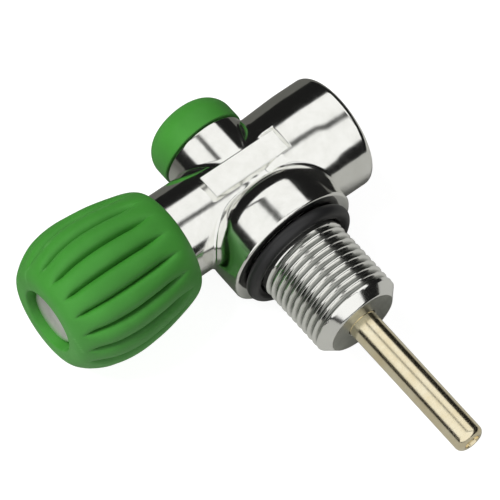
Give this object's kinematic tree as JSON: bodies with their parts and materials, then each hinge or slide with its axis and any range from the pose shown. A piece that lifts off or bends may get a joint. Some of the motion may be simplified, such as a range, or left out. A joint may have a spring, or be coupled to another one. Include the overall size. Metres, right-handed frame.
{
  "type": "scuba cylinder valve",
  "caption": "In-line diving cylinder valve with a ribbed green handwheel, threaded outlet, capped side port, O-ring sealed neck thread and a brass dip tube.",
  "frame": {"origin": "centre of the flat pad on the body, straight above the crossing of the spindle line and the neck line", "axes": "+Z out of the flat pad, +X along the spindle line towards the outlet (the handwheel is at -X), -Y down the neck towards the dip tube (the capped port is at +Y)"},
  "size_m": [0.092, 0.114, 0.0382],
  "materials": {
    "chrome": "forged brass with polished chrome plating",
    "brass": "bright turned brass",
    "green_rubber": "satin moulded green rubber",
    "black_rubber": "lightly greased black nitrile",
    "hub_plastic": "moulded black plastic",
    "nylon": "natural nylon",
    "spring_steel": "stainless spring steel"
  },
  "bodies": {
    "body": {"valve_body": "chrome", "neck_oring": "black_rubber", "dip_tube": "brass", "bonnet_nut": "chrome", "bonnet_oring": "black_rubber", "port_plug": "brass", "port_plug_oring": "black_rubber"},
    "handwheel": {"upper_spindle": "brass", "spindle_oring_outer": "black_rubber", "spindle_oring_inner": "black_rubber", "thrust_washer": "nylon", "handwheel_hub": "hub_plastic", "handwheel_grip": "green_rubber", "handwheel_spring": "spring_steel", "slip_washer": "nylon", "spring_washer": "spring_steel", "handwheel_nut": "chrome"},
    "plunger": {"plunger": "brass", "plunger_seat": "nylon"},
    "cap": {"port_cap": "green_rubber"}
  },
  "joints": [
    {"name": "handwheel_turn", "type": "hinge", "parent": "body", "child": "handwheel", "pos_m": [-0.04, 0, -0.0139], "axis": [-1, 0, 0], "range_deg": [0, 990]},
    {"name": "plunger_travel", "type": "slide", "parent": "handwheel", "child": "plunger", "axis": [-1, 0, 0], "range_m": [0, 0.0035]},
    {"name": "cap_pull", "type": "slide", "parent": "body", "child": "cap", "axis": [0, 1, 0], "range_m": [0, 0.014]}
  ],
  "couplings": [
    {"joint": "plunger_travel", "follows": "handwheel_turn", "m_per_rad": 0.00019894}
  ]
}
